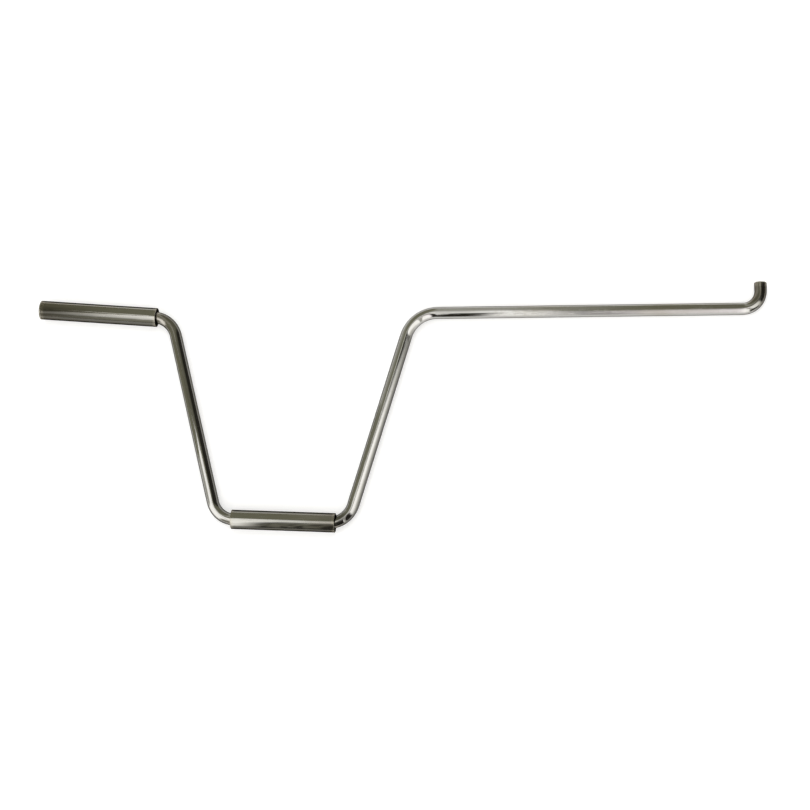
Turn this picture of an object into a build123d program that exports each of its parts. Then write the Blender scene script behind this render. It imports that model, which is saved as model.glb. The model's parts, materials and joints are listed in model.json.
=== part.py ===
from build123d import *
from math import atan2, degrees
import os

os.makedirs("parts", exist_ok=True)

# Crank handle: one round bar bent into a crank, with two loose tube sleeves to hold it by.
# Millimetres. The crank lies flat on a floor, +Z up, as it comes to rest.
# Origin: on the axis of the hook pin, where the pin leaves its bend. +Y runs along the pin.
# The shaft runs off to -X, and the end of the bar is the far -X end.

# ---- round bar ----
rod_d = 12.0
hook_pin_len = 8.5  # straight part of the pin, past the hook bend
hook_bend_r = 17.5  # all bend radii are to the bar's centreline
hook_turn_deg = 90.0
shaft_run = 297.5  # runs are the straight lengths between bends
shoulder_bend_r = 32.0
shoulder_turn_deg = 73.2
inner_leg_run = 174.9
inner_bend_r = 24.5
inner_turn_deg = 75.2
mid_run = 93.9
outer_bend_r = 23.0
outer_turn_deg = 73.9
outer_leg_run = 172.5
end_bend_r = 25.0
end_turn_deg = 71.4
end_run = 116.0  # up to the shoulder that the end washer seats on
tip_chamfer = 0.8

# ---- tube sleeves ----
sleeve_play = 2.3  # radial room between the bar and the bore
sleeve_wall = 1.2
sleeve_edge = 0.4  # chamfer on the outer edges
sleeve_deburr = 0.2  # chamfer on the bore's edges
mid_inner_lap = 7.1  # how far the middle sleeve reaches over the inner bend
mid_outer_lap = 2.0  # and over the outer bend
end_sleeve_lap = 2.6  # how far the end sleeve reaches over its bend
end_play = 0.3  # gap between the end sleeve and its washer

# ---- riveted end ----
washer_t = 1.6
washer_edge = 0.2
rivet_shoulder = 2.0  # step from the bar down to the riveted stem
rivet_fit = 0.05  # radial room around the stem in the washer
rivet_head_lap = 1.4  # how far the hammered head spreads past the stem
rivet_head_edge = 0.4  # height of the head's side, below its dome
rivet_dome_h = 0.9

# Sizes that follow from the ones above.
rod_r = rod_d / 2
bore_r = rod_r + sleeve_play
sleeve_r = bore_r + sleeve_wall
washer_r = sleeve_r  # the washer covers the end of the tube, and no more
stem_r = rod_r - rivet_shoulder
head_r = stem_r + rivet_head_lap
mid_sleeve_len = mid_run + mid_inner_lap + mid_outer_lap
end_sleeve_len = end_run + end_sleeve_lap - end_play
floor_z = -rod_r  # the pin end of the bar lies on the floor

# The bar's centreline, drawn flat from the tip of the pin to the shoulder at the far end.
# Each bend starts where the run before it stops, and keeps its direction.
with BuildLine() as centreline:
    pin = Line((0, hook_pin_len), (0, 0))
    hook = JernArc(pin @ 1, pin % 1, hook_bend_r, -hook_turn_deg)
    shaft = Line(hook @ 1, hook @ 1 + (hook % 1) * shaft_run)
    shoulder = JernArc(shaft @ 1, shaft % 1, shoulder_bend_r, shoulder_turn_deg)
    inner_leg = Line(shoulder @ 1, shoulder @ 1 + (shoulder % 1) * inner_leg_run)
    inner_bend = JernArc(inner_leg @ 1, inner_leg % 1, inner_bend_r, -inner_turn_deg)
    mid = Line(inner_bend @ 1, inner_bend @ 1 + (inner_bend % 1) * mid_run)
    outer_bend = JernArc(mid @ 1, mid % 1, outer_bend_r, -outer_turn_deg)
    outer_leg = Line(outer_bend @ 1, outer_bend @ 1 + (outer_bend % 1) * outer_leg_run)
    end_bend = JernArc(outer_leg @ 1, outer_leg % 1, end_bend_r, end_turn_deg)
    end = Line(end_bend @ 1, end_bend @ 1 + (end_bend % 1) * end_run)

# Washer and pin both lie on the floor, and the washer is wider than the bar. So at rest the
# bar's far end lies a little higher: the bar's plane leans by that slope about the pin's axis.
rest_slope = degrees(atan2(washer_r - rod_r, -(end @ 1).X))
laid = Plane.XY.rotated((0, rest_slope, 0))
bar_path = laid.location * centreline.line
tip_plane = Plane(origin=bar_path @ 0, z_dir=bar_path % 0)
seat_plane = Plane(origin=bar_path @ 1, x_dir=laid.z_dir, z_dir=bar_path % 1)

# The bar: one round section swept along the centreline, with a chamfered tip. Its far end
# is turned down to a stem, whose end is hammered out over the washer into a low domed head.
# The stem and head are one half section, drawn from the shoulder outwards and revolved.
stem_section = Plane(seat_plane.origin, x_dir=seat_plane.x_dir, z_dir=-seat_plane.y_dir)
head_side = washer_t + rivet_head_edge
head_top = head_side + rivet_dome_h
dome_r = (head_r**2 + rivet_dome_h**2) / (2 * rivet_dome_h)
with BuildPart() as crank_rod:
    with BuildSketch(tip_plane):
        Circle(rod_r)
    sweep(path=bar_path)
    chamfer(crank_rod.edges().group_by(Axis.Y)[-1], tip_chamfer)
    with BuildSketch(stem_section):
        with BuildLine():
            Polyline((0, 0), (stem_r, 0), (stem_r, washer_t), (head_r, washer_t), (head_r, head_side))
            RadiusArc((head_r, head_side), (0, head_top), -dome_r)
            Line((0, head_top), (0, 0))
        make_face()
    revolve(axis=Axis(seat_plane.origin, seat_plane.z_dir))
crank_rod.part.label = "crank_rod"
export_step(crank_rod.part, "parts/crank_rod.step")

# The washer sits on the bar's shoulder, under the hammered head, and keeps the end sleeve on.
with BuildPart() as end_washer:
    with BuildSketch(seat_plane):
        Circle(washer_r)
        Circle(stem_r + rivet_fit, mode=Mode.SUBTRACT)
    extrude(amount=washer_t)
    chamfer(end_washer.edges().filter_by(GeomType.CIRCLE).group_by(SortBy.RADIUS)[-1], washer_edge)
end_washer.part.label = "end_washer"
export_step(end_washer.part, "parts/end_washer.step")

# Each sleeve is a plain tube lying on the floor, level, and turned to the run of bar inside
# it. The bar rests near the bottom of the bore, because the bore is wide.
mid_heading = mid % 0.5
mid_start = mid @ 0 - mid_heading * mid_inner_lap
mid_sleeve_plane = Plane((mid_start.X, mid_start.Y, floor_z + sleeve_r), z_dir=mid_heading)

with BuildPart() as mid_sleeve:
    with BuildSketch(mid_sleeve_plane):
        Circle(sleeve_r)
        Circle(bore_r, mode=Mode.SUBTRACT)
    extrude(amount=mid_sleeve_len)
    mid_rims = mid_sleeve.edges().filter_by(GeomType.CIRCLE).group_by(SortBy.RADIUS)
    chamfer(mid_rims[-1], sleeve_edge)
    chamfer(mid_rims[0], sleeve_deburr)
mid_sleeve.part.label = "mid_sleeve"
export_step(mid_sleeve.part, "parts/mid_sleeve.step")

end_heading = end % 0.5
end_start = end @ 0 - end_heading * end_sleeve_lap
end_sleeve_plane = Plane((end_start.X, end_start.Y, floor_z + sleeve_r), z_dir=end_heading)

with BuildPart() as end_sleeve:
    with BuildSketch(end_sleeve_plane):
        Circle(sleeve_r)
        Circle(bore_r, mode=Mode.SUBTRACT)
    extrude(amount=end_sleeve_len)
    end_rims = end_sleeve.edges().filter_by(GeomType.CIRCLE).group_by(SortBy.RADIUS)
    chamfer(end_rims[-1], sleeve_edge)
    chamfer(end_rims[0], sleeve_deburr)
end_sleeve.part.label = "end_sleeve"
export_step(end_sleeve.part, "parts/end_sleeve.step")
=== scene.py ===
# %% [markdown]
# # A plated crank handle
# The real object is one steel bar, bent cold in five places and plated, with two loose tubes that
# turn in the hands while the crank goes round. Polished metal has hardly any colour of its own: it
# shows the room. So the lesson has two halves. First come skins that are smooth but a little
# uneven, as drawn bar and tube are, and then a room of a few soft shapes for them to mirror.

# %% Load the frame
import json
import math
import bpy
import numpy as np
from mathutils import Matrix, Vector


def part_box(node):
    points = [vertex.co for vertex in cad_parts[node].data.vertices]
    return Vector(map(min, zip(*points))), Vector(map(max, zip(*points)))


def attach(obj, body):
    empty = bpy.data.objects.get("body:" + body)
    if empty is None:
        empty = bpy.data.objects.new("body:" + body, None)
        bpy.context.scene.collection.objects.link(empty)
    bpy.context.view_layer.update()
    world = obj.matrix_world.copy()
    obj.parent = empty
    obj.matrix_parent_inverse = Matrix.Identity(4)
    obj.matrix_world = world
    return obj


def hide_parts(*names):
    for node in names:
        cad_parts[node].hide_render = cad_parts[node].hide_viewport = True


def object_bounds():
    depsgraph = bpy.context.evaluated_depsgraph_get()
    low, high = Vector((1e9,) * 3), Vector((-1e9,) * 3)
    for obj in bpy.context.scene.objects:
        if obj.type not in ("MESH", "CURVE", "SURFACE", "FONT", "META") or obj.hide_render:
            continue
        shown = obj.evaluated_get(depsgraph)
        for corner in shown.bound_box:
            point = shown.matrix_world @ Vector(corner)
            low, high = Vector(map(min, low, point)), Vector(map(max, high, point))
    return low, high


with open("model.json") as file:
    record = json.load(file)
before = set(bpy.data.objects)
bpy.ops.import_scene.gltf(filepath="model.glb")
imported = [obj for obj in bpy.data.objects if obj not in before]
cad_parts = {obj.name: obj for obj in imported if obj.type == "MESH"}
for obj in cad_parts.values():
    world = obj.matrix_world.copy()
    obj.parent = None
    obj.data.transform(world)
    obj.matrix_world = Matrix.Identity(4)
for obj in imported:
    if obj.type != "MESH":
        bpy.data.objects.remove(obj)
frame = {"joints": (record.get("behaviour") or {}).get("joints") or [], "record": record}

cad_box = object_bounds()
print("CAD box, mm:", [[round(v * 1000, 1) for v in corner] for corner in cad_box])

# %% [markdown]
# ## Sizes from the frame
# The frame already knows how thick the bar is, where each tube lies and which way it points: the
# mounts and the joints of the packed record say so. Reading them here, and not typing them again,
# keeps the dressed pieces where the solids are, also if the solids are made again.

# %% Bar, tubes and floor, as the frame gives them
MM = 0.001
mounts = {mount["name"]: mount for mount in frame["record"]["mounts"]}
joints = {joint["name"]: joint for joint in frame["joints"]}
bar_r = mounts["hook_pin"]["dims"]["r_mm"] * MM
shaft_run = mounts["shaft"]["dims"]["length_mm"] * MM
floor_z = cad_box[0].z
print("bar radius", bar_r, "shaft run", shaft_run, "floor at", round(floor_z, 5))


def tube_size(node, joint):
    """Centre, direction, outside radius and length of a tube. It lies level, so its box is as high
    as it is thick, and its box is as wide as the length's share in X plus the thickness's share."""
    low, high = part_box(node)
    centre, heading = np.array(joints[joint]["pos_m"]), np.array(joints[joint]["axis"])
    radius = round((high.z - low.z) / 2, 5)
    length = (high.x - low.x - 2 * radius * abs(heading[1])) / abs(heading[0])
    return centre, heading, radius, round(length, 5)


end_tube = tube_size("end_sleeve", "end_grip_spin")
mid_tube = tube_size("mid_sleeve", "mid_grip_spin")
print("end tube: radius, length", end_tube[2:], " middle tube:", mid_tube[2:])

# %% [markdown]
# ## The line of the bar
# A bender makes a crank as a list: so much straight bar, so many degrees round a former, and again.
# The same list works here. Walking it gives the centreline after any length of bar, which is all
# that a sweep needs, and it stays exact on the arcs, so no bend shows corners in its reflections.

# %% Runs and bends, in the order the bar is bent
# (name, straight length in mm) or (name, bend radius in mm, turn in degrees)
BAR_LIST = (
    ("pin", 8.5),
    ("hook bend", 17.5, -90.0),
    ("shaft", shaft_run / MM),
    ("shoulder bend", 32.0, 73.2),
    ("inner leg", 174.9),
    ("inner bend", 24.5, -75.2),
    ("middle run", 93.9),
    ("outer bend", 23.0, -73.9),
    ("outer leg", 172.5),
    ("end bend", 25.0, 71.4),
    ("end run", 116.0),
)
PIN_LENGTH = BAR_LIST[0][1] * MM
START, START_HEADING = np.array([0.0, PIN_LENGTH]), math.radians(-90.0)
print(len(BAR_LIST), "runs and bends, from the pin's tip at", START)


# %% Walk the list
def ahead(angle):
    """A step of length 1 in a heading."""
    return np.array([math.cos(angle), math.sin(angle)])


def left_of(angle):
    """A step of length 1 to the left of a heading."""
    return np.array([-math.sin(angle), math.cos(angle)])


def bender_table(bar_list):
    """One row per run or bend: name, length at its start, length at its end, start point, heading
    there, radius (0 for a run) and side (+1 turns left, -1 right)."""
    rows, length, point, heading = [], 0.0, START, START_HEADING
    for name, size, *turn in bar_list:
        size, turn = size * MM, math.radians(turn[0]) if turn else 0.0
        span = size * abs(turn) if turn else size
        side = float(np.sign(turn))
        rows.append((name, length, length + span, point, heading, size if turn else 0.0, side))
        if turn:
            point = point + size * side * (left_of(heading) - left_of(heading + turn))
        else:
            point = point + size * ahead(heading)
        length, heading = length + span, heading + turn
    return rows


bender = bender_table(BAR_LIST)
bend_start = {row[0]: row[1] for row in bender}
bend_end = {row[0]: row[2] for row in bender}
bar_length = bender[-1][2]
for row in bender:
    print(f"{row[0]:14s} from {row[1] / MM:7.1f} to {row[2] / MM:7.1f} mm")


# %% The centreline after any length of bar
BEND_EASE = 6 * MM


def rising(s, place, width):
    """0 before a place, 1 behind it, and a straight slope of the given width, centred on it."""
    return np.clip((s - place) / width + 0.5, 0, 1)


def falling(s, place, width):
    """1 before a place, 0 behind it, with the same slope."""
    return np.clip((place - s) / width + 0.5, 0, 1)


def along_bar(s):
    """Point in the bar's own plane, heading, and how much it is bending (0 to 1), for an array of
    lengths s. On a run the point moves along the heading. On a bend it goes round the centre that
    lies one radius to the side, and the heading turns by length over radius. The bending share
    rises and falls over 6 mm at each end of a bend, as metal flows beyond the former."""
    xy, angle, bending = np.zeros((len(s), 2)), np.zeros(len(s)), np.zeros(len(s))
    for _, start, stop, point, heading, radius, side in bender:
        here = (s >= start) if stop == bar_length else (s >= start) & (s < stop)
        t = s[here] - start
        if radius:
            angle[here] = heading + side * t / radius
            centre = point + radius * side * left_of(heading)
            outwards = np.stack([np.sin(angle[here]), -np.cos(angle[here])], -1)
            xy[here] = centre + radius * side * outwards
            share = rising(s, start, BEND_EASE) * falling(s, stop, BEND_EASE)
            bending = np.maximum(bending, share)
        else:
            angle[here] = heading
            xy[here] = point + t[:, None] * ahead(heading)
    return xy, angle, bending


bar_end, end_heading, _ = along_bar(np.array([bar_length]))
print("the bar ends at", bar_end[0].round(4), "heading", np.degrees(end_heading[0]).round(1))

# %% How the bar leans
# The washer is wider than the bar and lies on the floor too, so the bar leans up towards it.
washer_r = end_tube[2]
lean = math.atan2(washer_r - bar_r, -bar_end[0, 0])
LEAN = np.array([[math.cos(lean), 0, math.sin(lean)],
                 [0, 1, 0],
                 [-math.sin(lean), 0, math.cos(lean)]])
print("the bar leans", round(math.degrees(lean), 3), "degrees in", round(bar_length / MM, 1), "mm")

# %% [markdown]
# ## Profiles with eased edges
# No real edge is sharp: a file, a cutter or the plating itself leaves a small round, and that round
# is what catches the light. Each turned piece here starts as a few corners of a half section. The
# corners are then eased, and long sides get more points, so that they can carry unevenness.


# %% Ease the corners of a profile
def unit(steps):
    """Each step scaled to length 1."""
    return steps / np.maximum(np.linalg.norm(steps, axis=1, keepdims=True), 1e-12)


def eased(corners, ease, closed=False, bow=5, beyond=0.3):
    """Each corner P becomes a curve from A to C, points at the distance ease before and after it:
    (1-t)^2 A + 2t(1-t) P + t^2 C. One more point just beyond A and C keeps the flats flat."""
    corners, ease = np.array(corners, float), np.broadcast_to(ease, len(corners)).astype(float)
    back = unit(np.roll(corners, 1, 0) - corners) * ease[:, None]
    on = unit(np.roll(corners, -1, 0) - corners) * ease[:, None]
    a, p, c = (corners + back)[:, None], corners[:, None], (corners + on)[:, None]
    t = np.concatenate([[-beyond], np.linspace(0, 1, bow), [1 + beyond]])[None, :, None]
    u = np.clip(t, 0, 1)
    curve = (1 - u) ** 2 * a + 2 * u * (1 - u) * p + u**2 * c
    curve += np.maximum(-t, 0) * back[:, None] + np.maximum(t - 1, 0) * on[:, None]
    if closed:
        return curve.reshape(-1, 2)
    return np.concatenate([corners[:1], curve[1:-1].reshape(-1, 2), corners[-1:]])


def filled(profile, step, closed=False):
    """The same line with points at most one step apart, spread evenly along each side."""
    ends = np.concatenate([profile, profile[:1]]) if closed else profile
    sides = np.diff(ends, axis=0)
    counts = np.maximum(np.ceil(np.linalg.norm(sides, axis=1) / step).astype(int), 1)
    parts = [p + side * (np.arange(n) / n)[:, None] for p, side, n in zip(ends, sides, counts)]
    return np.concatenate(parts + ([] if closed else [profile[-1:]]))


print("a square of four corners, eased:", eased([(0, 0), (1, 0), (1, 1), (0, 1)], 0.1, True).shape)

# %% [markdown]
# ## From a profile to a skin
# A sweep and a turned piece are the same thing: rings of points, one for each point of the profile,
# joined to their neighbours. The solids do it in CAD. Here it is done again with finer rings,
# because a mirror shows every facet. Each point also remembers where it was while the bar was still
# straight. Drawing marks and scratches follow that, and so run along the bar and round its bends.


# %% Join rings into faces that look outwards
def ring_faces(rings, around, closed=False):
    """Corner numbers of the faces between ring i and i + 1, and column j and j + 1. The last column
    joins the first, and in a closed profile the last ring joins the first too."""
    i, j = np.meshgrid(np.arange(rings if closed else rings - 1), np.arange(around), indexing="ij")
    up, right = (i + 1) % rings, (j + 1) % around
    quad = [i * around + j, i * around + right, up * around + right, up * around + j]
    return np.stack(quad, -1).reshape(-1, 4)


def volume(points, faces):
    """Sum over triangles of a . (b x c) / 6: above zero when all faces look outwards."""
    halves = ([0, 1, 2], [0, 2, 3])
    tris = np.concatenate([f[:, k] for f in faces for k in halves if f.shape[1] > k[2]])
    a, b, c = (points[tris[:, k]] for k in range(3))
    return float(np.einsum("ij,ij->i", a, np.cross(b, c)).sum() / 6)


def outward(points, faces):
    """The same faces, turned over where they would look inwards."""
    return [f[:, ::-1] for f in faces] if volume(points, faces) < 0 else faces


print("two rings of four points make", len(ring_faces(2, 4)), "faces")


# %% Put a skin on its body
def make_skin(name, points, faces, straight, marks, finish, body, node):
    """A mesh object from whole arrays: points, faces, the place of each point on the straight
    bar, and named marks from 0 to 1, such as where it is rubbed. It stands for the CAD node."""
    faces = outward(points, faces)
    mesh = bpy.data.meshes.new(name)
    mesh.from_pydata(points.tolist(), [], [corner for f in faces for corner in f.tolist()])
    mesh.attributes.new("straight", "FLOAT_VECTOR", "POINT").data.foreach_set(
        "vector", straight.astype(np.float32).ravel())
    for mark, value in marks.items():
        shares = mesh.attributes.new(mark, "FLOAT", "POINT")
        shares.data.foreach_set("value", value.astype(np.float32))
    mesh.polygons.foreach_set("use_smooth", np.ones(len(mesh.polygons), bool))
    mesh.materials.append(finish)
    piece = bpy.data.objects.new(name, mesh)
    bpy.context.scene.collection.objects.link(piece)
    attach(piece, body)
    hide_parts(node)
    off = np.abs(np.array([points.min(0), points.max(0)]) - np.array(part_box(node))).max()
    print(f"{name}: {len(points)} points, volume {volume(points, faces) / MM**3:.0f} mm3, "
          f"off the solid's box by {off / MM:.3f} mm")
    return piece


# %% Unevenness of drawn bar and tube
def uneven(s, around, seed, amount, shortest, longest, waves=9):
    """Radius error of a drawn surface: a sum of waves, each a sine along the length times a
    cosine around, with 0 to 3 waves round and a random shift, scaled to the given amount."""
    pick = np.random.default_rng(seed)
    total = np.zeros(np.broadcast(s, around).shape)
    for length in np.geomspace(shortest, longest, waves):
        lobes, shift, turn = pick.integers(0, 4), *pick.uniform(0, 2 * math.pi, 2)
        total += np.sin(2 * math.pi * s / length + shift) * np.cos(lobes * around + turn) * length
    return amount * total / np.abs(total).max()


error = uneven(np.linspace(0, 0.1, 50)[:, None], 0.0, 1, 0.02 * MM, 30 * MM, 160 * MM)
print("a trial wall errs from", round(error.min() / MM, 3), "to", round(error.max() / MM, 3), "mm")

# %% [markdown]
# ## Finishes: one bench for all nodes
# A finish is a small sum of layers: a colour that drifts, fine lines from the drawing die, scuffs,
# and duller metal where something rubs. A helper that adds a node and hands back its output lets
# each finish read like that sum.


# %% A bench for building node trees
class Bench:
    """Adds nodes to one tree. Each method gives back an output that the next one can take."""

    def __init__(self, tree):
        self.tree = tree
        tree.nodes.clear()

    def add(self, kind, inputs=(), out=0, **settings):
        """Any node: its settings, then each input as a link or as a plain value."""
        node = self.tree.nodes.new(kind)
        for key, value in settings.items():
            setattr(node, key, value)
        for key, value in dict(inputs).items():
            if isinstance(value, bpy.types.NodeSocket):
                self.tree.links.new(value, node.inputs[key])
            else:
                node.inputs[key].default_value = value
        return node.outputs[out] if node.outputs else node

    def maths(self, operation, a, b=0.0):
        return self.add("ShaderNodeMath", {0: a, 1: b}, operation=operation)

    def times(self, a, b):
        return self.maths("MULTIPLY", a, b)

    def times_plus(self, a, b, more):
        """a x b + more."""
        return self.add("ShaderNodeMath", {0: a, 1: b, 2: more}, operation="MULTIPLY_ADD")

    def step(self, value, low, high, to_low=0.0, to_high=1.0):
        """A soft step: to_low below low, to_high above high, and smooth between."""
        values = {"Value": value, "From Min": low, "From Max": high,
                  "To Min": to_low, "To Max": to_high}
        return self.add("ShaderNodeMapRange", values, interpolation_type="SMOOTHSTEP")

    def blend(self, share, a, b, how="MIX"):
        """Two colours, by a share of the second one."""
        return self.add("ShaderNodeMix", {0: share, 6: a, 7: b}, out=2, data_type="RGBA",
                        blend_type=how)

    def stretched(self, where, scale, turn=(0, 0, 0)):
        return self.add("ShaderNodeMapping", {"Vector": where, "Scale": scale, "Rotation": turn})

    def noise(self, where, scale=1.0, detail=2.0, rough=0.5):
        values = {"Vector": where, "Scale": scale, "Detail": detail, "Roughness": rough}
        return self.add("ShaderNodeTexNoise", values)

    def ramp(self, value, low, high, stops):
        """A drawn curve: stops of (value, height from 0 to 1), read between low and high."""
        share = self.add("ShaderNodeMapRange", {"Value": value, "From Min": low, "From Max": high})
        node = self.add("ShaderNodeValToRGB", {"Fac": share}).node
        for _ in stops[2:]:
            node.color_ramp.elements.new(0.5)
        for stop, (place, height) in zip(node.color_ramp.elements, stops):
            stop.position, stop.color = (place - low) / (high - low), (height, height, height, 1)
        return node.outputs[0]

    def mark(self, name, out="Fac"):
        """A named value that the skin's points carry."""
        return self.add("ShaderNodeAttribute", attribute_name=name, out=out)


def new_material(name):
    """An empty material, and the bench for its nodes."""
    material = bpy.data.materials.new(name)
    material.use_nodes = True
    return material, Bench(material.node_tree)


print("bench tools:", ", ".join(name for name in vars(Bench) if not name.startswith("_")))

# %% [markdown]
# ## Bright plate on steel
# Nickel and chrome plate reflect a little over half of the light, evenly over all colours. The
# plate copies the steel below, so the lines that the drawing die left along the bar stay visible in
# it. Handling adds fine scuffs in all directions, and where a tube's rim or a bench rubs, the plate
# goes duller and warmer. The shader is metallic throughout, and the layers drive colour, roughness
# and bump together, because on real metal they come together.

# %% Grain of each layer, in features per metre: along the bar, then around it
STAIN_GRAIN, WORN_GRAIN, DIE_GRAIN = (14, 60, 60), (55, 150, 150), (9, 1900, 1900)
CLOUD_GRAIN, PIT_GRAIN = 260.0, 330.0
SCUFFS = ((0.9, 420), (-0.6, 560))  # slant in radians, and grain


def plate_layers(b, place, scuff_seed):
    """Masks of the plate: broad stains and the noise that they come from, a finer cloud, die
    lines long along the bar and very fine around it, scuffs at two slants, kept only where their
    noise peaks, and pits, which are the middles of small cells."""
    broad = b.noise(b.stretched(place, STAIN_GRAIN), 1.0, 3.0, 0.55)
    stain = b.step(broad, 0.45, 0.75)
    cloud = b.step(b.noise(place, CLOUD_GRAIN, 4.0, 0.6), 0.35, 0.75)
    die = b.noise(b.stretched(place, DIE_GRAIN), 1.0, 3.0, 0.6)
    scuffs = []
    for slant, grain in SCUFFS:
        turn = (0.3 * scuff_seed, 0.4, slant)
        slanted = b.stretched(place, (grain * 0.12, grain * 4, grain * 4), turn)
        scuffs.append(b.step(b.noise(slanted, 1.0, 1.0), 0.64, 0.70))
    scuff = b.maths("MAXIMUM", *scuffs)
    cells = b.add("ShaderNodeTexVoronoi", {"Vector": place, "Scale": PIT_GRAIN})
    pit = b.step(cells, 0.045, 0.02)
    return broad, stain, cloud, die, scuff, pit


stain_long, pits_apart = (round(1 / grain / MM) for grain in (STAIN_GRAIN[0], PIT_GRAIN))
print("stains are about", stain_long, "mm long, and pits", pits_apart, "mm apart")

# %% Plated finish
CLOUDED, DIE_SHADE, PIT_SHADE = (0.36, 0.34, 0.29, 1), (0.30, 0.29, 0.26, 1), (0.10, 0.08, 0.06, 1)
# The two wear colours are partly real wear and partly a painted dark reflection.
WEAR_AND_SHADE_GREY, WEAR_AND_SHADE_BROWN = (0.19, 0.185, 0.155, 1), (0.20, 0.165, 0.13, 1)
# PAINTED_SHADE is painted shade, which the low mark lays on the sides and below.
PAINTED_SHADE, RUBBED_BARE = (0.07, 0.066, 0.055, 1), (0.50, 0.46, 0.38, 1)
DULL_BORE, GRAZING_TINT = (0.13, 0.125, 0.11, 1), (0.05, 0.05, 0.045, 1)


def plated(name, clean, stained, gloss, line_depth, scuff_seed, shade_share):
    """Metal whose colour drifts from clean to stained in patches of a few centimetres, with die
    lines, scuffs and tiny pits. Four marks on the skin change it: where the plate wears through it
    is dull and brown, partly real wear and partly a painted dark reflection; the low mark paints
    shade onto the sides and below, and darker patches, by the share given; rubbed edges are bare
    warm metal; and the inside of a tube is a dull bore. Gloss is the roughness of clean plate."""
    finish, b = new_material(name)
    place = b.mark("straight", "Vector")
    rubbed, inside, low, worn = (b.mark(mark) for mark in ("rubbed", "inside", "low", "worn"))
    broad, stain, cloud, die, scuff, pit = plate_layers(b, place, scuff_seed)
    # colour: each layer is laid over the one before
    colour = b.blend(b.times(stain, 0.85), clean, stained)
    colour = b.blend(b.times(cloud, 0.16), colour, CLOUDED)
    colour = b.blend(b.step(die, 0.30, 0.42, 0.22, 0.0), colour, DIE_SHADE)
    colour = b.blend(b.times(pit, 0.7), colour, PIT_SHADE)
    # Dull brown plate where it wears through, partly a painted dark reflection.
    spots = b.step(b.noise(b.stretched(place, WORN_GRAIN)), 0.25, 0.75, 0.8, 1.1)
    patchy = b.times(worn, spots)
    brown = b.blend(b.step(broad, 0.35, 0.65), WEAR_AND_SHADE_GREY, WEAR_AND_SHADE_BROWN)
    colour = b.blend(b.maths("MINIMUM", patchy, 1.0), colour, brown)
    # Painted shade on the sides and below, and the darker patches, where the low mark is high.
    colour = b.blend(b.times(low, shade_share), colour, PAINTED_SHADE)
    colour = b.blend(b.times(rubbed, 0.45), colour, RUBBED_BARE)
    colour = b.blend(b.times(inside, 0.85), colour, DULL_BORE)
    # roughness and height: a base, and a share of each layer
    rough = b.step(stain, 0.0, 1.0, gloss, gloss + 0.05)
    for layer, share in ((cloud, 0.035), (scuff, 0.12), (rubbed, 0.13), (patchy, 0.10),
                         (inside, 0.30), (pit, 0.3)):
        rough = b.times_plus(layer, share, rough)
    height = b.times(die, line_depth)
    for layer, depth in ((scuff, -0.35), (pit, -1.2), (cloud, 0.12)):
        height = b.times_plus(layer, depth, height)
    bump = b.add("ShaderNodeBump", {"Strength": 0.35, "Distance": 0.00002, "Height": height})
    shader = b.add("ShaderNodeBsdfPrincipled", {
        "Metallic": 1.0, "Base Color": colour, "Roughness": rough, "Normal": bump,
        "Specular Tint": GRAZING_TINT})
    b.add("ShaderNodeOutputMaterial", {"Surface": shader})
    print("finish", name, "with", len(finish.node_tree.nodes), "nodes")
    return finish


bar_plate = plated("bright plated bar", (0.47, 0.465, 0.45, 1), (0.40, 0.385, 0.34, 1),
                   gloss=0.045, line_depth=0.4, scuff_seed=1, shade_share=0.75)
tube_plate = plated("handled plated tube", (0.40, 0.395, 0.37, 1), (0.33, 0.315, 0.27, 1),
                    gloss=0.05, line_depth=0.35, scuff_seed=2, shade_share=0.85)
washer_plate = plated("plated washer", (0.46, 0.45, 0.41, 1), (0.36, 0.335, 0.28, 1),
                      gloss=0.12, line_depth=0.3, scuff_seed=3, shade_share=0.3)

# %% [markdown]
# ## The bar
# One ring profile serves the whole bar: the flat tip of the pin with its chamfer, the long plain
# surface with all its bends, then the shoulder, the turned stem and the hammered head that hold the
# washer. Bending squeezes a round bar a little in the plane of the bend, so its section there is
# slightly oval, and the mirror shows it. The head is hammered by hand, in a few shallow flats: it
# is the one place where the skin isn't a clean turned shape.

# %% Rings of the plain bar: one every 3 mm of a run, or every 2.5 degrees of a bend
RUN_STEP, BEND_STEP = 3.0 * MM, math.radians(2.5)
PLAIN_FROM, PLAIN_TO = 6.5 * MM, bar_length - 1.5 * MM


def ring_places(start, stop, radius):
    """Lengths of the rings on one run or bend, evenly spread, without the last."""
    step = radius * BEND_STEP if radius else RUN_STEP
    return np.linspace(start, stop, max(math.ceil((stop - start) / step), 1), endpoint=False)


places = np.concatenate([ring_places(start, stop, radius)
                         for _, start, stop, _, _, radius, _ in bender])
places = places[(places > PLAIN_FROM) & (places < PLAIN_TO)]
body_part = np.stack([places, np.full(len(places), bar_r)], -1)
print("plain bar:", len(body_part), "rings")

# %% Profile of the bar: length along it, and radius there
tip_chamfer, tip_ease, tip_to = 0.8 * MM, 0.22 * MM, 6 * MM
tip_corners = [(0, 0), (0, bar_r - tip_chamfer), (tip_chamfer, bar_r), (tip_to, bar_r)]
tip_part = eased(tip_corners, tip_ease)
tip_part = np.concatenate([filled(tip_part[:2], 0.5 * MM)[:-1], tip_part[1:]])

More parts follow.
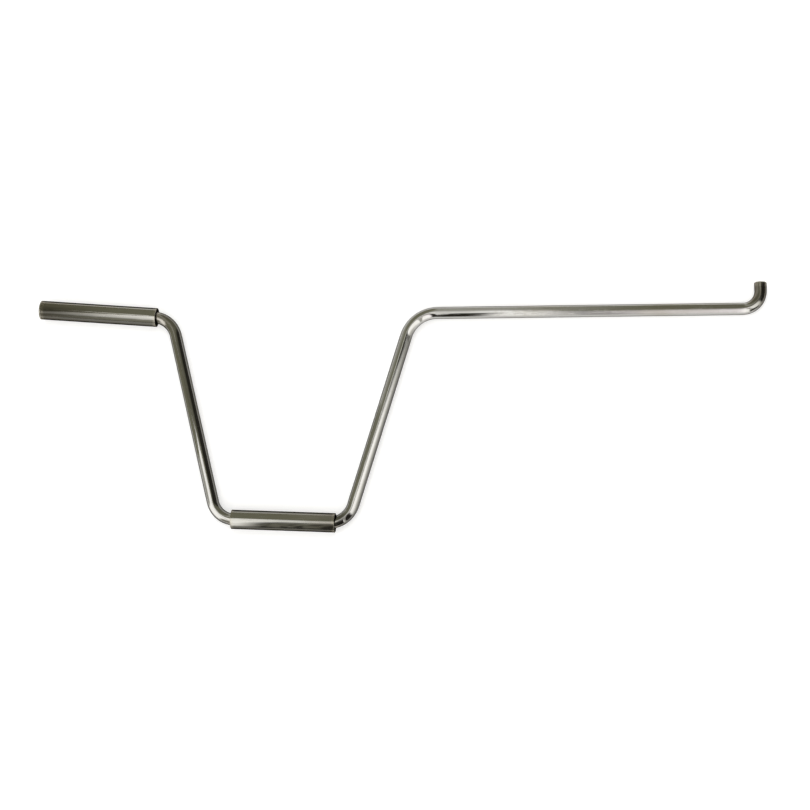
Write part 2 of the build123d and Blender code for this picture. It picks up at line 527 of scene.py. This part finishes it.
stem_r, head_r = bar_r - 2.0 * MM, bar_r - 0.6 * MM
washer_t, head_side, dome_h = 1.6 * MM, 0.4 * MM, 0.9 * MM
head_foot = bar_length + washer_t
head_brim = head_foot + head_side
end_part = eased([(bar_length - 1.2 * MM, bar_r), (bar_length, bar_r), (bar_length, stem_r),
                  (head_foot, stem_r), (head_foot, head_r), (head_brim, head_r)],
                 [0, 0.12 * MM, 0.08 * MM, 0.08 * MM, 0.12 * MM, 0], bow=3)
dome = np.linspace(0, 1, 12)[1:, None]
head_top = np.concatenate([head_brim + dome_h * (1 - (1 - dome) ** 2), head_r * (1 - dome)], -1)
bar_profile = np.concatenate([tip_part, body_part, end_part, head_top])
print("bar profile:", len(bar_profile), "rings")

# %% Flats of the hammer
BLOWS, FLAT_REACH = 11, 1.3 * MM


def hammered(r, a):
    """How far the head is pressed in: each blow lands at a random radius and angle, and presses
    its depth times exp of minus the fourth power of the distance over the flat's reach."""
    pick = np.random.default_rng(5)
    blow_r, blow_a = pick.uniform(0, 0.8, BLOWS) * head_r, pick.uniform(0, 6.28, BLOWS)
    pressed = np.zeros(np.broadcast(r, a).shape)
    for one_r, one_a, depth in zip(blow_r, blow_a, pick.uniform(0.04, 0.12, BLOWS) * MM):
        apart = np.hypot(r * np.cos(a) - one_r * math.cos(one_a),
                         r * np.sin(a) - one_r * math.sin(one_a))
        pressed += depth * np.exp(-((apart / FLAT_REACH) ** 4))
    return pressed


middle_press = hammered(np.zeros((1, 1)), 0.0).max()
print("the middle of the head is pressed in by", round(middle_press / MM, 3), "mm")

# %% Carry the profile along the bar
OVAL = 0.022
BAR_SEED, BAR_ERROR, BAR_WAVES = 11, 0.022 * MM, (30 * MM, 160 * MM)


def bar_skin(profile, around=80):
    """Grid point = centreline at that length + radius x (cos a x side + sin a x up). In a bend the
    radius towards the side shrinks by 2.2 percent, and everywhere it is a little uneven. Also
    gives the place on the straight bar, the length and the angle of each point."""
    s, r = profile[:, 0], profile[:, 1:]
    xy, heading, bending = along_bar(s)
    a = np.linspace(0, 2 * math.pi, around, endpoint=False)[None, :]
    oval = 1 - OVAL * bending[:, None] * np.abs(np.cos(a)) ** 1.5
    error = uneven(s[:, None], a, BAR_SEED, BAR_ERROR, *BAR_WAVES) * (r > 0.9 * bar_r)
    radius = r * oval + error
    pressed = hammered(r, a) * (s > head_brim)[:, None]
    forward, side, centre = (np.stack([x, y, 0 * s], -1) @ LEAN.T for x, y in (
        (np.cos(heading), np.sin(heading)), (-np.sin(heading), np.cos(heading)), xy.T))
    grid = (centre[:, None] + (radius * np.cos(a))[..., None] * side[:, None]
            + (radius * np.sin(a))[..., None] * LEAN[:, 2] - pressed[..., None] * forward[:, None])
    straight = np.stack([s[:, None] + 0 * a - pressed, r * np.cos(a), r * np.sin(a)], -1)
    return grid, straight, s[:, None] + 0 * a, a + 0 * s[:, None]


bar_grid, bar_straight, bar_s, bar_a = bar_skin(bar_profile)
print("bar grid:", bar_grid.shape[0], "rings of", bar_grid.shape[1], "points")

# %% [markdown]
# ## Wear and painted shade on the bar
# Use changes the plate, each change in its own places. Edges that touch bench or tube are rubbed
# bare. Painted shade darkens the sides and the underside, a painted dark streak runs up the outer
# leg, and the plate is darker where the middle tube meets the inner bend. Where hands and the loose
# tubes wear through the plate, dull brown metal shows, which is partly a painted dark reflection.
# Each is a mark from 0 to 1 at every point, made from the length along the bar and the angle
# around it, so that the finish can find it.


# %% Where the bar is rubbed bare
def near(s, place, reach):
    """A bell, 1 at a place and about a third at the reach from it: exp of minus the square of the
    distance over the reach. It serves for lengths and for angles."""
    return np.exp(-(((s - place) / reach) ** 2))


bar_rubbed = np.clip(
    near(bar_s, 0.4 * MM, 1.2 * MM)
    + 0.6 * near(bar_s, bend_end["inner bend"] - 7.1 * MM, 2.5 * MM)
    + 0.6 * near(bar_s, bend_start["outer bend"] + 2.0 * MM, 2.5 * MM)
    + 0.6 * near(bar_s, bend_end["end bend"] - 2.6 * MM, 2.5 * MM)
    + (bar_s > bar_length - 0.5 * MM), 0, 1)
print("rubbed: pin tip, three tube rims, riveted end; on average", bar_rubbed.mean().round(3))


# %% Where painted shade darkens the bar
def shaded_sides(angle, lit_above=0.80, shaded_below=0.58):
    """Share of painted shade: 0 on top, 1 on the sides and below, a soft step down in the sine of
    the angle around.
    """
    t = np.clip((lit_above - np.sin(angle)) / (lit_above - shaded_below), 0, 1)
    return t * t * (3 - 2 * t)


# The shaft, and the bends at its two ends, get less of the painted shade.
on_shaft = (rising(bar_s, bend_start["hook bend"] + 10 * MM, 20 * MM)
            * falling(bar_s, bend_end["shoulder bend"] - 4 * MM, 20 * MM))
side_shade = shaded_sides(bar_a) * (1 - 0.8 * on_shaft)
# The plate is darker where the middle tube meets the inner bend.
bend_dark = 0.85 * near(bar_s, bend_end["inner bend"] - 13 * MM, 10 * MM)
# A painted dark reflection, a streak 0.31 radians to each side of the top, runs up the outer leg to
# the end bend.
leg_top, leg_foot = bend_start["end bend"], bend_end["outer bend"]
painted_dark = (0.5 * rising(bar_s, leg_top - 0.62 * (leg_top - leg_foot), 30 * MM)
        * falling(bar_s, leg_top - 2.5 * MM, 15 * MM) * near(bar_a, math.pi / 2, 0.31))
bar_shade_and_patch = np.maximum(np.maximum(side_shade, bend_dark), painted_dark)
print("dust, grease and soot:", [round(float(v.mean()), 3) for v in (side_shade, bend_dark, painted_dark)])

# %% Where the plate wears brown: partly real wear, partly a painted dark reflection
bar_worn = np.clip(0.45 * near(bar_s, bend_end["end bend"] - 14 * MM, 17 * MM)
                   + 0.8 * falling(bar_s, bend_end["hook bend"] - 9 * MM, 14 * MM), 0, 1)
print("worn: the pin with its bend, and the end bend; on average", bar_worn.mean().round(3))


# %% Close the two ends and put the bar in place
def with_poles(grid):
    """The grid as a list of points, with the first and the last ring as one point each."""
    flat = grid[1:-1].reshape(-1, *grid.shape[2:])
    return np.concatenate([grid[:1, 0], flat, grid[-1:, 0]])


def capped_faces(rings, around):
    """A fan of triangles round the first pole, the faces between the rings, and a fan round the
    last pole."""
    j = np.arange(around)
    last_ring, pole = 1 + (rings - 1) * around, 1 + rings * around
    first_fan = np.stack([0 * j, 1 + (j + 1) % around, 1 + j], -1)
    last_fan = np.stack([0 * j + pole, last_ring + j, last_ring + (j + 1) % around], -1)
    return [first_fan, 1 + ring_faces(rings, around), last_fan]


bar_points = with_poles(bar_grid)
# The low mark carries the painted shade and the darker patches.
bar_marks = {"rubbed": with_poles(bar_rubbed), "inside": np.zeros(len(bar_points)),
             "low": with_poles(bar_shade_and_patch), "worn": with_poles(bar_worn)}
make_skin("plated_bar", bar_points, capped_faces(len(bar_grid) - 2, bar_grid.shape[1]),
          with_poles(bar_straight), bar_marks, bar_plate, "crank", "crank_rod")

# %% [markdown]
# ## The grip tubes
# Each tube is a plain length of thin tube, cut square, with its rims dressed by hand. Turning a
# closed profile about the tube's axis gives the outside, the rims and the bore in one skin. The
# bore is left as drawn, so it is dull and dark, and the rims are rubbed bright where they touch
# the bends.


# %% Turn a closed profile about an axis
def turned(middle, axis, up, s, radius, a):
    """Grid point = middle + s x axis + radius x (cos a x side + sin a x up), where side is square
    to both up and axis."""
    side = np.cross(up, axis)
    return (middle + s[..., None] * axis + (radius * np.cos(a))[..., None] * side
            + (radius * np.sin(a))[..., None] * up)


def unrolled(s, r, a, shift):
    """Each point's place on a straight piece, shifted so that no two pieces share their stains."""
    return np.stack([s + 0 * a + shift, r * np.cos(a), r * np.sin(a)], -1).reshape(-1, 3)


trial = turned(np.zeros(3), np.array([1.0, 0, 0]), np.array([0, 0, 1.0]),
               np.zeros((1, 1)), 1.0, np.linspace(0, math.pi, 3)[None, :])
print("half a turn about X, in three points:", trial.round(1).tolist())

# %% Marks and skin of a tube
TUBE_WALL, RIM_EASE, BORE_EASE = 1.2 * MM, 0.4 * MM, 0.2 * MM
TUBE_ERROR, TUBE_WAVES = 0.03 * MM, (20 * MM, 110 * MM)
# The reach is in radians to each side of the angle where painted shade darkens the end tube.
SHADE_REACH = 0.6  # radians to each side of the palm


def tube_marks(s, r, a, length, bore, worn, painted_dark, shade_angle):
    """The rims are rubbed, the bore is inside, and the sides are low, which takes painted shade.
    A list of shares gives how much the plate wears through along the tube's length: dull and brown
    there, partly real wear and partly a painted dark reflection. Painted shade also darkens the side
    at the given angle, more and more towards the far end."""
    to_rim, share = length / 2 - np.abs(s + 0 * a), s / length + 0.5
    shaded_far_side = np.interp(share, [0.35, 0.9], [0, 1]) * near(a, shade_angle, SHADE_REACH)
    marks = {"rubbed": 0.9 * near(to_rim, 0, 0.9 * MM),
             "inside": np.clip((bore + 0.3 * MM - r) / (0.25 * MM) + 0 * a, 0, 1),
             "low": np.maximum(shaded_sides(a), painted_dark * shaded_far_side),
             "worn": np.interp(share, *worn) + 0 * a}
    return {mark: value.ravel() for mark, value in marks.items()}


def tube_skin(name, tube, seed, body, node, worn, painted_dark=0.0, shade_angle=0.0, around=96):
    """A tube's section, eased, filled and turned about its axis. The outside wall is a little
    uneven, by its share of the wall's thickness, so the bore stays true."""
    centre, heading, radius, length = tube
    bore, half = radius - TUBE_WALL, length / 2
    corners = [(-half, radius), (half, radius), (half, bore), (-half, bore)]
    section = eased(corners, [RIM_EASE, RIM_EASE, BORE_EASE, BORE_EASE], closed=True)
    section = filled(section, 3.0 * MM, closed=True)
    s, r = section[:, :1], section[:, 1:]
    a = np.linspace(0, 2 * math.pi, around, endpoint=False)[None, :]
    outside = np.clip((r - bore) / TUBE_WALL, 0, 1)
    wide = r + uneven(s, a, seed, TUBE_ERROR, *TUBE_WAVES) * outside
    points = turned(centre, heading, np.array([0, 0, 1.0]), s, wide, a).reshape(-1, 3)
    return make_skin(name, points, [ring_faces(len(section), around, closed=True)],
                     unrolled(s, r, a, seed), tube_marks(s, r, a, length, bore, worn, painted_dark, shade_angle),
                     tube_plate, body, node)


# The end tube is darker towards its far end and along one side: painted dark reflection and painted
# shade, with some real wear.
tube_skin("end_grip_tube", end_tube, 21, "end_grip", "end_sleeve",
          worn=((0.3, 1.0), (0.0, 0.55)), painted_dark=1.0, shade_angle=math.radians(74))
tube_skin("mid_grip_tube", mid_tube, 34, "mid_grip", "mid_sleeve",
          worn=((0.0, 0.25), (0.7, 0.0)))

# %% [markdown]
# ## The keeper washer
# The washer stops the end tube from sliding off. It is stamped from sheet, so one edge is rounded
# by the punch and the other is crisp. It is turned like the tubes, about the last run of the bar.

# %% Turn the washer about the bar's end
seat = np.append(bar_end[0], 0) @ LEAN.T
out_way = np.append(ahead(end_heading[0]), 0) @ LEAN.T
hole_r = stem_r + 0.05 * MM
washer_corners = [(0, washer_r), (washer_t, washer_r), (washer_t, hole_r), (0, hole_r)]
washer_ease = [0.12 * MM, 0.25 * MM, 0.15 * MM, 0.08 * MM]
washer_section = filled(eased(washer_corners, washer_ease, closed=True), 0.8 * MM, closed=True)
s, r = washer_section[:, :1], washer_section[:, 1:]
a = np.linspace(0, 2 * math.pi, 96, endpoint=False)[None, :]
washer_points = turned(seat, out_way, LEAN[:, 2], s, r, a).reshape(-1, 3)
# The washer's low mark is painted shade on its sides and below.
washer_marks = {
    "rubbed": 0.8 * np.clip((r - washer_r) / (0.5 * MM) + 1 + 0 * a, 0, 1).ravel(),
    "inside": np.zeros(len(washer_points)),
    "low": (shaded_sides(a) + 0 * s).ravel(),
    "worn": np.full(len(washer_points), 0.4)}
make_skin("keeper_washer", washer_points, [ring_faces(len(washer_section), 96, closed=True)],
          unrolled(s, r, a, 3), washer_marks, washer_plate, "crank", "end_washer")

# %% [markdown]
# ## The floor
# A wide pale floor, so far across that its edge is never in view. It takes the soft shadow of the
# crank. A little light of its own, for the camera and for mirrors and glass alike, brings the
# paper-white up to white without more light on the metal.

# %% Floor sheet
FLOOR_HALF, TICKS = 30.0, 13
ticks = np.linspace(-FLOOR_HALF, FLOOR_HALF, TICKS)
gx, gy = np.meshgrid(ticks, ticks, indexing="ij")
floor_points = np.stack([gx, gy, np.full_like(gx, floor_z)], -1).reshape(-1, 3)
i, j = (v.ravel() for v in np.meshgrid(np.arange(TICKS - 1), np.arange(TICKS - 1), indexing="ij"))
first = i * TICKS + j
floor_faces = np.stack([first, first + TICKS, first + TICKS + 1, first + 1], -1)
floor_mesh = bpy.data.meshes.new("floor")
floor_mesh.from_pydata(floor_points.tolist(), [], floor_faces.tolist())
floor = bpy.data.objects.new("floor", floor_mesh)
bpy.context.scene.collection.objects.link(floor)
print("floor", 2 * FLOOR_HALF, "m across, at", round(floor_z, 4))

# %% Floor finish
FLOOR_SHADES = (0.67, 0.67, 0.675, 1), (0.69, 0.69, 0.695, 1)
FLOOR_GRAIN, FLOOR_GLOW = 900.0, 0.39
floor_finish, b = new_material("pale floor")
where = b.add("ShaderNodeTexCoord", out="Object")
grain = b.noise(where, FLOOR_GRAIN, 3.0)
shade = b.blend(b.step(grain, 0.3, 0.7), *FLOOR_SHADES)
rays = b.add("ShaderNodeLightPath").node
seen = b.maths("MAXIMUM", rays.outputs["Is Camera Ray"], rays.outputs["Is Glossy Ray"])
seen = b.maths("MAXIMUM", seen, rays.outputs["Is Transmission Ray"])
surface = b.add("ShaderNodeBsdfPrincipled", {
    "Base Color": shade, "Roughness": 0.85, "Specular IOR Level": 0.0,
    "Emission Color": (1, 1, 1, 1), "Emission Strength": b.times(seen, FLOOR_GLOW)})
b.add("ShaderNodeOutputMaterial", {"Surface": surface})
floor_mesh.materials.append(floor_finish)
print("floor finish with", len(floor_finish.node_tree.nodes), "nodes, glowing by", FLOOR_GLOW)

# %% [markdown]
# ## The room that the metal mirrors
# A tube is a mirror that squeezes the whole room into stripes along it. The middle stripe is the
# ceiling, the next ones are the walls, and the outer edges are the floor. So the stripes are drawn
# in the room: one big soft window over the near side, with panes of its own and two curtains, then
# dim warm walls on the far side and the left, and a dark corner far to the right. The direction of
# a ray gives two numbers, how far it points to the right (x) and to the far side (y), and every
# shape in the room is a soft step in them.

# %% The direction of a ray
world = bpy.context.scene.world or bpy.data.worlds.new("room")
bpy.context.scene.world = world
world.use_nodes = True
b = Bench(world.node_tree)
direction = b.add("ShaderNodeTexCoord", out="Generated")
split = b.add("ShaderNodeSeparateXYZ", {0: direction}).node
x, y = split.outputs[0], split.outputs[1]
print("room measured by", x.name, "and", y.name)

# %% [markdown]
# ## The window's far edge
# The shaft, the legs and the grips each look at their own part of the window, so the line where it
# ends places the bright stripe of each. It is a low gable, falling slowly to the right and faster
# far to the left. Two drawn curves then bend it: the first lifts it just left of the middle and
# lets it sag just right of it, and the second says how soft it is, from a crisp frame to a wide
# blur.

# %% Gable, lift and softness of the edge
EDGE_SPAN, NO_LIFT = (-0.35, 0.15), 0.5
EDGE_LIFT = (
    (-0.35, 0.51), (-0.20, 0.51), (-0.15, 0.50), (-0.12, 0.50), (-0.09, 0.70), (-0.045, 0.68),
    (-0.03, 0.58), (-0.015, 0.30), (0.01, 0.15), (0.03, 0.18), (0.08, 0.21), (0.12, 0.45),
    (0.15, 0.50))
EDGE_SOFTNESS = (
    (-0.35, 0.07), (-0.20, 0.07), (-0.12, 0.04), (-0.09, 0.28), (-0.03, 0.28), (-0.015, 0.38),
    (0.09, 0.38), (0.13, 0.05), (0.15, 0.03))
right_fall = b.times(b.maths("MAXIMUM", b.maths("ADD", x, 0.05), 0.0), -0.24)
left_fall = b.times(b.maths("MINIMUM", b.maths("ADD", x, 0.50), 0.0), 0.8)
gable = b.maths("ADD", left_fall, right_fall)
gable = b.maths("ADD", gable, b.step(x, -0.07, 0.03, 0.15, 0.11))
lift = b.ramp(x, *EDGE_SPAN, EDGE_LIFT)
softness = b.ramp(x, *EDGE_SPAN, EDGE_SOFTNESS)
far_edge = b.maths("ADD", gable, b.maths("SUBTRACT", lift, NO_LIFT))
window = b.step(b.maths("DIVIDE", b.maths("SUBTRACT", far_edge, y), softness), -1.0, 1.0)
print("edge drawn through", len(EDGE_LIFT), "heights and", len(EDGE_SOFTNESS), "softnesses")

# %% [markdown]
# ## Panes and curtains
# Daylight through a real window is never one even sheet. From left to right its brightness is a
# drawn curve, with bright and dull panes near the middle, a touch of lilac right of the middle and
# a dimmer, warmer pane far to the right. Two grey curtains hang in it. One hangs low at the near
# left, and dulls the outer bend. The other is a narrow upright at the near right, and draws the
# grey streak in the shoulder bend.

# %% Brightness and colour from left to right
PANE_SPAN = (-0.40, 0.15)
PANES = (
    (-0.40, 0.95), (-0.35, 0.52), (-0.33, 0.55), (-0.30, 0.72), (-0.27, 0.92), (-0.24, 1.0),
    (-0.215, 0.92), (-0.188, 0.75), (-0.178, 0.58), (-0.16, 0.46), (-0.152, 0.55), (-0.138, 0.95),
    (-0.115, 1.0), (-0.09, 0.58), (-0.07, 0.58), (-0.055, 0.80), (-0.045, 0.88), (-0.034, 0.86),
    (-0.026, 0.64), (-0.019, 0.47), (-0.011, 0.34), (0.010, 0.31), (0.017, 0.47), (0.025, 0.63),
    (0.06, 0.66), (0.078, 0.75), (0.10, 0.90), (0.15, 0.98))
WINDOW, LILAC, WARM_PANE = (2.0, 1.98, 1.93, 1), (1.0, 0.965, 1.0, 1), (1.05, 1.04, 0.97, 1)
pane = b.blend(1.0, WINDOW, b.ramp(x, *PANE_SPAN, PANES), "MULTIPLY")
lilac = b.times(b.step(x, -0.03, 0.02), b.step(x, 0.25, 0.10))
pane = b.blend(lilac, pane, LILAC, "MULTIPLY")
pane = b.blend(b.step(x, 0.62, 0.95), pane, WARM_PANE)
print("window of", len(PANES), "panes")

# %% Curtains
GREY_CURTAIN = (0.36, 0.35, 0.29, 1)
outwards = b.maths("SQRT", b.maths("ADD", b.times(x, x), b.times(y, y)))
low_down = b.step(outwards, 0.60, 0.84)
near_left = b.times(b.step(x, -0.235, -0.30), b.step(b.maths("SUBTRACT", x, y), -0.10, 0.15))
left_curtain = b.times(low_down, near_left)
off_fold = b.maths("ABSOLUTE", b.times_plus(y, 0.7, x))
right_curtain = b.times(b.step(off_fold, 0.095, 0.045, 0.0, 0.8), b.step(x, 0.12, 0.18))
pane = b.blend(b.maths("MAXIMUM", left_curtain, right_curtain), pane, GREY_CURTAIN)
print("two curtains, at the near left and the near right")

# %% [markdown]
# ## Walls
# What isn't window is wall: a dim warm one, paler in a stretch opposite and far to the left. To the
# right it gets darker, and far to the right it ends in a dark corner.

# %% Walls and dark corner
WALL, LIGHT_WALL, DARK_CORNER = (
    (0.28, 0.275, 0.20, 1), (0.58, 0.575, 0.52, 1), (0.03, 0.028, 0.022, 1))
opposite = b.times(b.step(x, -0.16, -0.08), b.step(x, 0.03, -0.05))
pale = b.times(opposite, b.step(y, 0.18, 0.30))
pale = b.maths("MAXIMUM", pale, b.step(x, -0.45, -0.95))
room = b.blend(pale, WALL, LIGHT_WALL)
room = b.blend(b.step(x, -0.02, 0.12, 0.0, 0.28), room, DARK_CORNER)
below = b.step(b.times_plus(x, -0.9, y), 0.12, -0.12)
room = b.blend(b.times(b.step(x, 0.08, 0.35), below), room, DARK_CORNER)
room = b.blend(window, room, pane)
backdrop = b.add("ShaderNodeBackground", {"Color": room, "Strength": 1.0})
b.add("ShaderNodeOutputWorld", {"Surface": backdrop})
print("room drawn with", len(world.node_tree.nodes), "nodes")

# %% [markdown]
# ## Cards that only mirrors see
# Things that stand close by mirror differently in each bend, and no distant backdrop can give that.
# So anyone who lights shiny metal puts up cards around it. These are sheets of glowing paper that
# may fade out at an edge or carry a few clouds. They are hidden from everything but mirrors, so
# that they take no light from the floor and cast no shadow on it.

# %% Paper for the cards
CARD_CLOUD_GRAIN = (75, 75, 9)
BLACK, OLIVE, DARK_GREY = (0.04, 0.037, 0.03, 1), (0.28, 0.275, 0.20, 1), (0.12, 0.115, 0.095, 1)
PALE_CLOUD = (0.26, 0.25, 0.205, 1)


def card_paper(name, colour, *fades, clouds=None):
    """Glowing paper. Each fade is (axis, clear, solid): across it, in metres, the paper goes from
    see-through to solid. Clouds are (axis, plain, cloudy, colour): patches about a centimetre wide
    and ten high, of another colour."""
    paper, b = new_material(name)
    where = b.add("ShaderNodeTexCoord", out="Object")
    place = b.add("ShaderNodeSeparateXYZ", {0: where}).node
    if clouds:
        axis, plain, cloudy, cloud_colour = clouds
        patches = b.step(b.noise(b.stretched(where, CARD_CLOUD_GRAIN)), 0.38, 0.62)
        share = b.times(b.step(place.outputs[axis], plain, cloudy), patches)
        colour = b.blend(share, colour, cloud_colour)
    solid_share = 1.0
    for axis, clear, solid in fades:
        solid_share = b.times(b.step(place.outputs[axis], clear, solid), solid_share)
    glow = b.add("ShaderNodeEmission", {"Color": colour, "Strength": 1.0})
    clear_paper = b.add("ShaderNodeBsdfTransparent")
    mixed = b.add("ShaderNodeMixShader", {0: solid_share, 1: clear_paper, 2: glow})
    b.add("ShaderNodeOutputMaterial", {"Surface": mixed})
    return paper


left_paper = card_paper("black card, soft on the left", BLACK, ("X", -0.540, -0.500),
                        ("Z", 0.42, 0.08), clouds=("X", -0.42, -0.45, PALE_CLOUD))
right_paper = card_paper("black card, soft on the right", BLACK, ("X", -0.268, -0.305),
                         ("Z", 0.85, 0.50))
olive_paper = card_paper("olive card", OLIVE)
roof_paper = card_paper("olive card, soft at the near end", OLIVE, ("Y", -0.04, 0.05))
print("papers:", [paper.name for paper in (left_paper, right_paper, olive_paper, roof_paper)])

# %% [markdown]
# ## Where the cards stand
# Two black ones stand side by side before the middle grip, with a slit between them: they draw the
# black line at the start of the shaft, the dark lower side of the grip and the dark inner bend. The
# left one is clouded where the right half of the grip looks at it. An olive one stands across the
# far end, and keeps the window out of the upper part of the outer leg and out of the end grip, and
# a level one above the far end does the same for the stripe along that leg. To the right of the
# hook stands a black one, for the dark stripe along the pin, and before the hook a low grey one,
# for the streak in its bend.

# %% Stand up the cards
X, Y, Z = 0, 1, 2
foot = floor_z


def stand_card(name, paper, axis, place, outline):
    """A flat sheet square to an axis, at a place along it, through the corners of its outline in
    the other two axes, in metres. Glossy rays alone see it."""
    corners = np.insert(np.array(outline), axis, place, axis=1)
    mesh = bpy.data.meshes.new(name)
    mesh.from_pydata(corners.tolist(), [], [tuple(range(len(corners)))])
    mesh.materials.append(paper)
    card = bpy.data.objects.new(name, mesh)
    card.visible_camera = card.visible_diffuse = False
    card.visible_shadow = card.visible_transmission = False
    bpy.context.scene.collection.objects.link(card)
    print(name, "is", [round(v, 2) for v in card.dimensions], "m")


stand_card("left_card", left_paper, Y, -0.30,
           [(-0.55, foot), (-0.366, foot), (-0.366, 0.9), (-0.55, 0.9)])
stand_card("right_card", right_paper, Y, -0.30,
           [(-0.349, foot), (-0.26, foot), (-0.26, 0.9), (-0.349, 0.9)])
stand_card("olive_card", olive_paper, X, -0.85,
           [(0.10, foot), (-0.19, foot), (-0.16, 0.305), (-0.129, 0.435), (-0.088, 0.615),
            (0.01, 1.05), (0.155, 1.87), (0.22, 2.3), (0.70, 2.3), (0.70, 0.95), (0.05, 0.95),
            (0.05, 0.62), (0.10, 0.55)])
stand_card("pin_card", card_paper("black card", BLACK), X, 0.20,
           [(-0.09, foot), (-0.083, 0.135), (-0.068, 0.24), (-0.033, 0.45), (0.0, 0.62),
            (0.50, 0.62), (0.50, foot)])
stand_card("hook_card", card_paper("grey card", DARK_GREY), Y, -0.10,
           [(0.026, foot), (0.135, foot), (0.13, 0.04), (0.10, 0.06), (0.055, 0.075),
            (0.030, 0.065)])
stand_card("roof_card", roof_paper, Z, 1.2,
           [(-0.77, -0.05), (-0.60, -0.05), (-0.60, 0.36), (-0.77, 0.36)])

# %% [markdown]
# ## A soft lamp for the floor
# The room alone leaves the floor a little dim. A wide lamp above the far side, tipped towards the
# crank, brings it to a plain level. Its own shape isn't mirrored, because a studio hides such a
# lamp behind cloth.

# %% Overhead lamp
lamp_data = bpy.data.lights.new("overhead cloth", "AREA")
lamp_data.shape, lamp_data.size, lamp_data.size_y = "RECTANGLE", 2.4, 2.0
lamp_data.energy = 34.0
lamp = bpy.data.objects.new("overhead cloth", lamp_data)
lamp.location = (cad_box[0].x / 2, 1.3, 2.0)
lamp.rotation_euler = (math.radians(-35), 0.0, 0.0)
lamp.visible_glossy = False
bpy.context.scene.collection.objects.link(lamp)
print("lamp of", lamp_data.energy, "W at", [round(v, 2) for v in lamp.location])

# %% [markdown]
# ## The camera
# The crank is seen from above, nearly square on, from about as high as a standing person's eyes.
# The camera leans a few degrees to the near side and to the right, and turns about its own axis by
# half a degree.

# %% Camera
YAW, PITCH, ROLL = (math.radians(v) for v in (6.64, 8.91, -0.49))
DISTANCE, AIM_X, AIM_Y = 1.770, 0.00998, 0.00415
box_middle = (cad_box[0] + cad_box[1]) / 2
look_at = Vector((box_middle.x + AIM_X, box_middle.y + AIM_Y, 0.0))
back = Vector((math.sin(YAW), -math.sin(PITCH), 1.0)).normalized()
right = (Vector((1, 0, 0)) - back * back.x).normalized()
upward = back.cross(right)
right, upward = (math.cos(ROLL) * right + math.sin(ROLL) * upward,
                 math.cos(ROLL) * upward - math.sin(ROLL) * right)
camera_data = bpy.data.cameras.new("camera")
camera_data.sensor_width, camera_data.lens = 36.0, 80.0
camera_data.clip_start, camera_data.clip_end = 0.05, 120.0
camera = bpy.data.objects.new("camera", camera_data)
turn = Matrix((right, upward, back)).transposed().to_4x4()
camera.matrix_world = Matrix.Translation(look_at + back * DISTANCE) @ turn
bpy.context.scene.collection.objects.link(camera)
bpy.context.scene.camera = camera
bpy.context.scene.view_settings.view_transform = "Standard"
print("camera at", [round(v, 3) for v in camera.matrix_world.translation])

# %% [markdown] ## The size of the skins: each skin prints how far it lies off its solid's box.
# Skins that have grown past their solids would no longer fit what the crank is used with.
